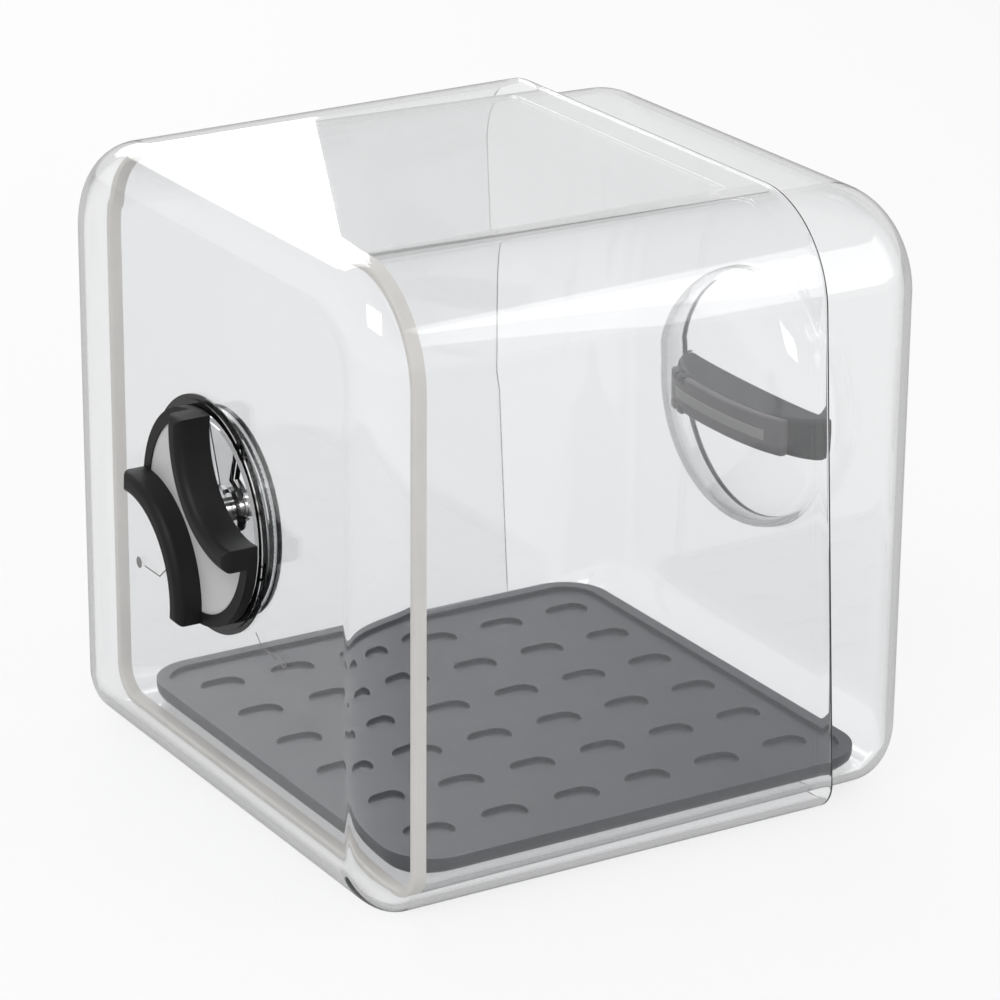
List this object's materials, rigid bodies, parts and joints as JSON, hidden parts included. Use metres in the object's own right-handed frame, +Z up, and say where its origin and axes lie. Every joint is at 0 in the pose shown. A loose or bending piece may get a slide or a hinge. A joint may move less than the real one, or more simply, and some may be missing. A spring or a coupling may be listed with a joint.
{
  "type": "bread box",
  "caption": "Clear telescoping bread box: two nested square shells, a turning air vent with an S-shaped grip, a finger dish with a bar, and a dimpled tray.",
  "frame": {"origin": "bottom centre of the whole box's bounding box, on the surface it stands on", "axes": "+X along the slide, from the vent end to the inner shell's closed end; +Z up; +Y from the near long side to the far one"},
  "size_m": [0.199, 0.184, 0.1839],
  "materials": {
    "clear_shell": "clear, polished",
    "clear_vent": "clear, polished",
    "soft_black": "soft, fine matt grain",
    "plate_grey": "satin",
    "core_grey": "satin",
    "tray_grey": "satin, fine grain",
    "steel": "plated",
    "seal": "matt silicone"
  },
  "bodies": {
    "outer": {"outer_shell": "clear_shell", "vent_housing": "clear_vent", "vent_seal": "seal", "dial_washer": "steel"},
    "inner": {"inner_shell": "clear_shell", "grip_bar": "soft_black", "grip_core": "core_grey"},
    "dial": {"vent_disc": "clear_vent", "dial_screw": "steel", "dial_grip": "soft_black", "dial_plate": "plate_grey"},
    "tray": {"tray": "tray_grey"}
  },
  "joints": [
    {"name": "inner_slide", "type": "slide", "parent": "outer", "child": "inner", "axis": [1, 0, 0], "range_m": [0, 0.1]},
    {"name": "dial_turn", "type": "hinge", "parent": "outer", "child": "dial", "pos_m": [-0.0875, 0, 0.092], "axis": [1, 0, 0], "range_deg": [0, 90]},
    {"name": "tray_lift", "type": "slide", "parent": "inner", "child": "tray", "axis": [0, 0, 1], "range_m": [0, 0.04]}
  ]
}
